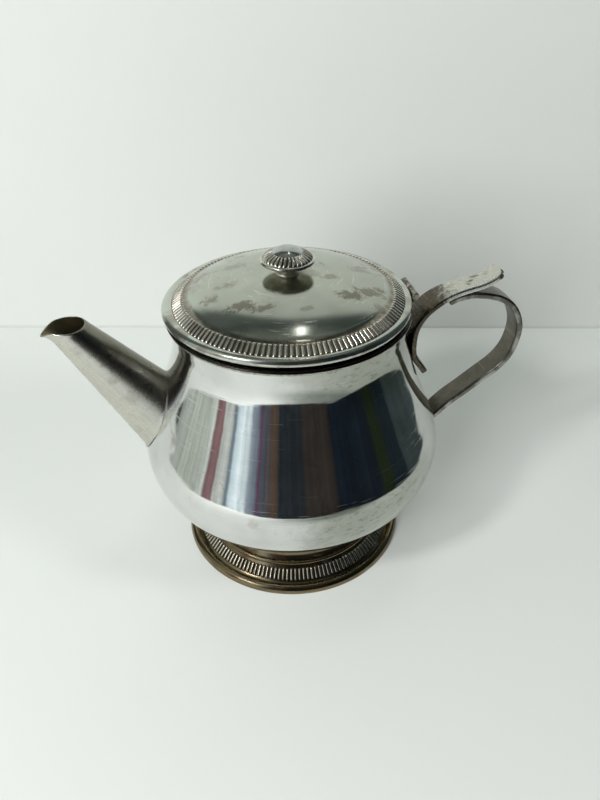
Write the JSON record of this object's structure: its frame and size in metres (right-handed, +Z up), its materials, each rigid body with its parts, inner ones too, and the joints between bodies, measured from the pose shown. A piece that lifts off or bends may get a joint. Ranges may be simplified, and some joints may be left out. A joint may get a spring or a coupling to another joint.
{
  "type": "hinged-lid teapot",
  "caption": "Pear-shaped metal teapot with a hinged domed lid, a straight tapered spout, a strap handle with a thumb rest and a reeded foot.",
  "frame": {"origin": "centre of the ring that the foot stands on", "axes": "+Z up along the pot's axis, +X towards the handle, the spout points to -X"},
  "size_m": [0.2241, 0.146, 0.1588],
  "materials": {
    "silver_plate": "polished, finely scratched",
    "spout_plate": "polished, slightly tarnished",
    "strap_plate": "satin, tarnished",
    "foot_plate": "dark tarnish",
    "reed_plate": "polished crests, tarnished grooves",
    "hinge_metal": "dark tarnish",
    "knob_plate": "polished crests, tarnished grooves",
    "button_plate": "smooth, dulled"
  },
  "bodies": {
    "pot": {"pot_shell": "silver_plate", "mouth_bead": "silver_plate", "spout": "spout_plate", "foot_skirt": "foot_plate", "foot_rim": "foot_plate", "foot_reed_band": "foot_plate", "foot_bead": "foot_plate", "upper_strap": "strap_plate", "lower_strap": "strap_plate", "hinge_pot_leaf": "hinge_metal", "hinge_pin": "hinge_metal"},
    "lid": {"hinge_lid_leaf": "hinge_metal", "lid_shell": "silver_plate", "lid_rim_bead": "silver_plate", "lid_reed_band": "reed_plate", "lid_bezel": "silver_plate", "knob_base": "knob_plate", "knob_cap": "knob_plate", "knob_button": "button_plate", "knob_stud": "hinge_metal", "knob_nut": "hinge_metal"}
  },
  "joints": [
    {"name": "lid_hinge", "type": "hinge", "parent": "pot", "child": "lid", "pos_m": [0.05705, 0, 0.1326], "axis": [0, 1, 0], "range_deg": [0, 148]}
  ]
}
